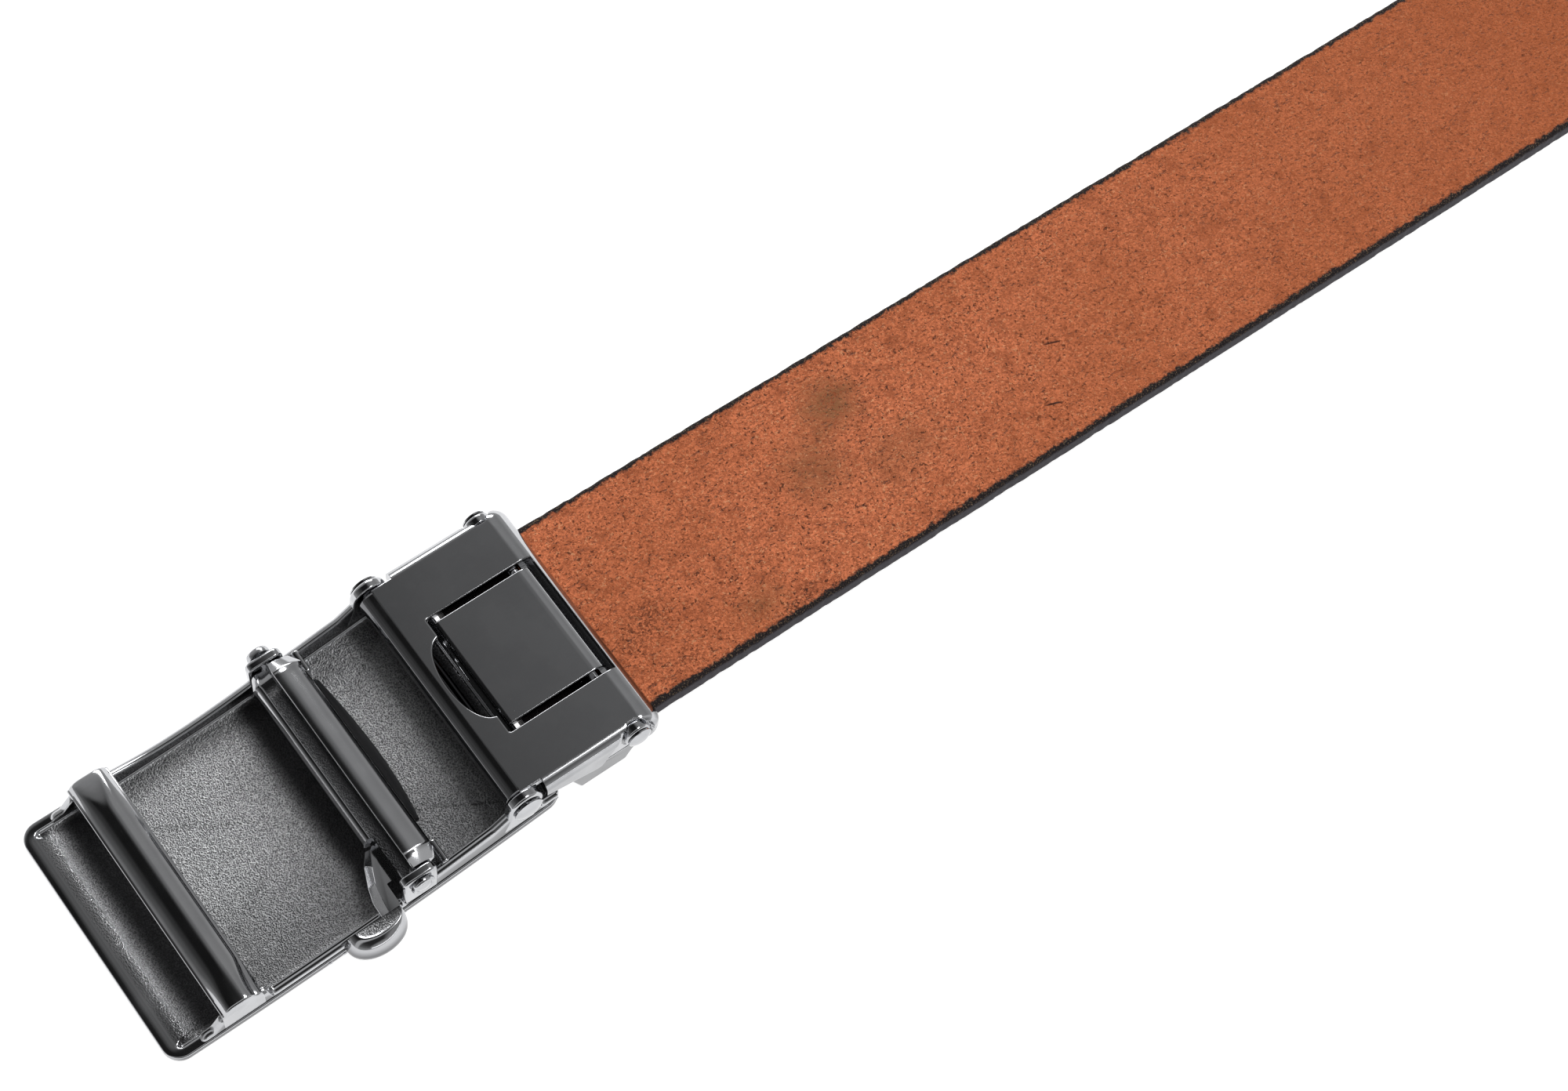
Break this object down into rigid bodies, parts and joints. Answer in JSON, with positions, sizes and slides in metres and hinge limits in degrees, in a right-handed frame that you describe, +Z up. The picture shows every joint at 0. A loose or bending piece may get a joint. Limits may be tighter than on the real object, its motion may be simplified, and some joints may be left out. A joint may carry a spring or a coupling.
{
  "type": "ratchet belt with automatic buckle",
  "caption": "Leather belt with an automatic ratchet buckle: bent face plate, railed frame, sprung pawl with release lever, and a strap clamp with a flap.",
  "frame": {"origin": "middle of the whole belt's box, on the surface that it lies on", "axes": "+X along the belt from the buckle's free end to the strap's tip, +Y across it away from the release lever, +Z up, out of the buckle's back"},
  "size_m": [0.2974, 0.0474, 0.0145],
  "materials": {
    "leather": "orange-brown flesh side with a fine nap, dark painted edges",
    "polished_gunmetal": "polished black nickel plating",
    "sanded_gunmetal": "black nickel plating over a sanded floor, with a polished rim and face",
    "black_steel": "blackened spring steel"
  },
  "bodies": {
    "strap_and_clamp": {"strap": "leather", "clamp_housing": "polished_gunmetal", "hinge_pin": "polished_gunmetal", "flap_pin": "polished_gunmetal"},
    "buckle": {"face_plate": "sanded_gunmetal", "buckle_frame": "polished_gunmetal", "pawl_pin": "polished_gunmetal"},
    "pawl": {"pawl_lever": "polished_gunmetal", "tooth_blade": "black_steel"},
    "flap": {"clamp_flap": "polished_gunmetal"}
  },
  "joints": [
    {"name": "buckle_swing", "type": "hinge", "parent": "strap_and_clamp", "child": "buckle", "pos_m": [-0.08935, 0.00145, 0.0116], "axis": [0, 1, 0], "range_deg": [0, 75]},
    {"name": "pawl_lift", "type": "hinge", "parent": "buckle", "child": "pawl", "pos_m": [-0.10725, 0.00145, 0.0094], "axis": [0, -1, 0], "range_deg": [0, 12], "stiffness_Nm_per_rad": 0.03, "springref_deg": -28.65},
    {"name": "flap_open", "type": "hinge", "parent": "strap_and_clamp", "child": "flap", "pos_m": [-0.0702, 0.00145, 0.0115], "axis": [0, 1, 0], "range_deg": [0, 95]}
  ]
}
